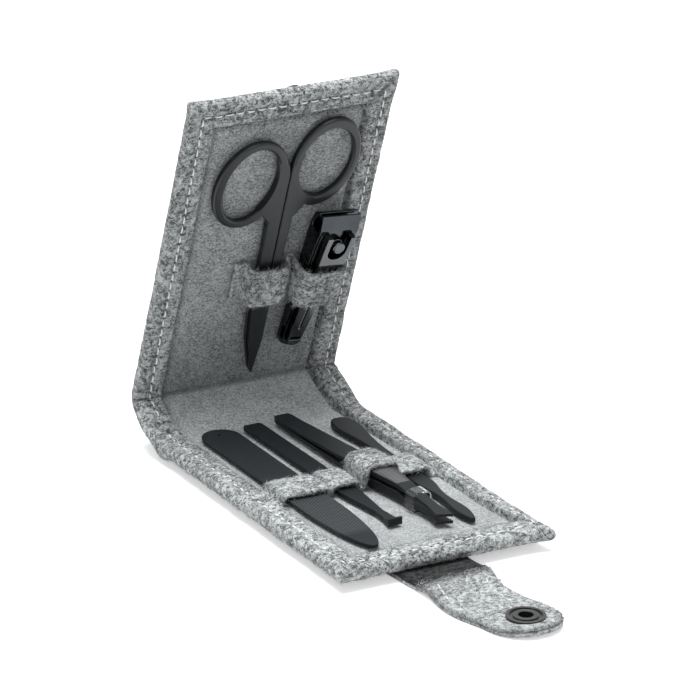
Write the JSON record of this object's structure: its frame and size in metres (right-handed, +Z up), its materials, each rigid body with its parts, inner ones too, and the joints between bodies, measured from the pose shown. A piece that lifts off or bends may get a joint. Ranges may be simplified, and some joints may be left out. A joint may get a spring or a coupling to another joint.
{
  "type": "manicure set case",
  "caption": "Folding grey felt case standing open, with black manicure tools held in felt loops and a strap with a snap fastener at the front.",
  "frame": {"origin": "centre of the bounding box at the plane that the case stands on", "axes": "+Z up, -Y towards the closing strap, +X across the case to the clipper's side"},
  "size_m": [0.065, 0.1707, 0.1112],
  "materials": {
    "felt": "matte",
    "lining": "matte",
    "board": "matte",
    "black_steel": "matte",
    "gloss_black_steel": "glossy",
    "clear_plastic": "glossy"
  },
  "bodies": {
    "base": {"base_outer_felt": "felt", "base_board": "board", "base_lining": "lining", "base_tool_band": "felt", "strap_root_outer": "felt", "strap_root_inner": "felt"},
    "spine": {"spine_outer_felt": "felt", "spine_board": "board", "spine_lining": "lining"},
    "lid": {"lid_outer_felt": "felt", "lid_board": "board", "lid_lining": "lining", "lid_tool_band": "felt", "snap_stud": "gloss_black_steel", "snap_stud_eyelet": "gloss_black_steel"},
    "strap_riser": {"strap_riser_outer": "felt", "strap_riser_inner": "felt"},
    "strap_tip": {"strap_tip_outer": "felt", "strap_tip_inner": "felt", "snap_socket": "gloss_black_steel", "snap_cap": "gloss_black_steel"},
    "scissors": {"scissors_right_half": "black_steel", "scissors_pivot_screw": "black_steel"},
    "scissors_blade": {"scissors_left_half": "black_steel"},
    "clipper": {"clipper_lower_leaf": "gloss_black_steel", "clipper_post": "gloss_black_steel", "clipper_rivet": "gloss_black_steel", "clipper_lever": "gloss_black_steel"},
    "clipper_jaw": {"clipper_upper_leaf": "gloss_black_steel"},
    "nail_file": {"nail_file": "black_steel"},
    "ear_pick": {"ear_pick": "black_steel"},
    "tweezers": {"tweezers_upper_arm": "black_steel"},
    "tweezers_arm": {"tweezers_lower_arm": "black_steel"},
    "tweezers_sleeve": {"tweezers_sleeve": "clear_plastic"},
    "cuticle_pusher": {"cuticle_pusher": "black_steel"}
  },
  "joints": [
    {"name": "spine_fold", "type": "hinge", "parent": "base", "child": "spine", "pos_m": [0, 0.06695, 0.0047], "axis": [-1, 0, 0], "range_deg": [-62, 28]},
    {"name": "lid_fold", "type": "hinge", "parent": "spine", "child": "lid", "pos_m": [0, 0.08284, 0.01315], "axis": [-1, 0, 0], "range_deg": [-6.5, 81]},
    {"name": "strap_lower_fold", "type": "hinge", "parent": "base", "child": "strap_riser", "pos_m": [-0.0028, -0.03815, 0.0012], "axis": [1, 0, 0], "range_deg": [-90, 0]},
    {"name": "strap_upper_fold", "type": "hinge", "parent": "strap_riser", "child": "strap_tip", "pos_m": [-0.0028, -0.06894, 0.0012], "axis": [1, 0, 0], "range_deg": [-92.5, 0]},
    {"name": "scissors_slide", "type": "slide", "parent": "lid", "child": "scissors", "axis": [0, -0.3256, 0.9455], "range_m": [0, 0.04]},
    {"name": "scissors_open", "type": "hinge", "parent": "scissors", "child": "scissors_blade", "pos_m": [0.0009, 0.06778, 0.04921], "axis": [0, -0.9455, -0.3256], "range_deg": [0, 8]},
    {"name": "clipper_slide", "type": "slide", "parent": "lid", "child": "clipper", "axis": [0.0992, -0.3698, 0.9238], "range_m": [0, 0.033]},
    {"name": "clipper_squeeze", "type": "hinge", "parent": "clipper", "child": "clipper_jaw", "pos_m": [0.01339, 0.07296, 0.02975], "axis": [-0.9951, -0.0323, 0.0939], "range_deg": [0, 1.4], "stiffness_Nm_per_rad": 12},
    {"name": "file_slide", "type": "slide", "parent": "base", "child": "nail_file", "axis": [0, -1, 0], "range_m": [0, 0.055]},
    {"name": "pick_slide", "type": "slide", "parent": "base", "child": "ear_pick", "axis": [0.0105, -0.9999, 0], "range_m": [0, 0.0545]},
    {"name": "tweezers_slide", "type": "slide", "parent": "base", "child": "tweezers", "axis": [0.0332, -0.9995, 0], "range_m": [0, 0.055]},
    {"name": "tweezers_squeeze", "type": "hinge", "parent": "tweezers", "child": "tweezers_arm", "pos_m": [0.00473, 0.05895, 0.0085], "axis": [-0.9995, -0.0332, 0], "range_deg": [0, 0.8], "stiffness_Nm_per_rad": 6},
    {"name": "sleeve_slide", "type": "slide", "parent": "tweezers", "child": "tweezers_sleeve", "axis": [0.0332, -0.9995, 0], "range_m": [0, 0.018]},
    {"name": "pusher_slide", "type": "slide", "parent": "base", "child": "cuticle_pusher", "axis": [-0.0384, -0.9993, 0], "range_m": [0, 0.0475]}
  ]
}
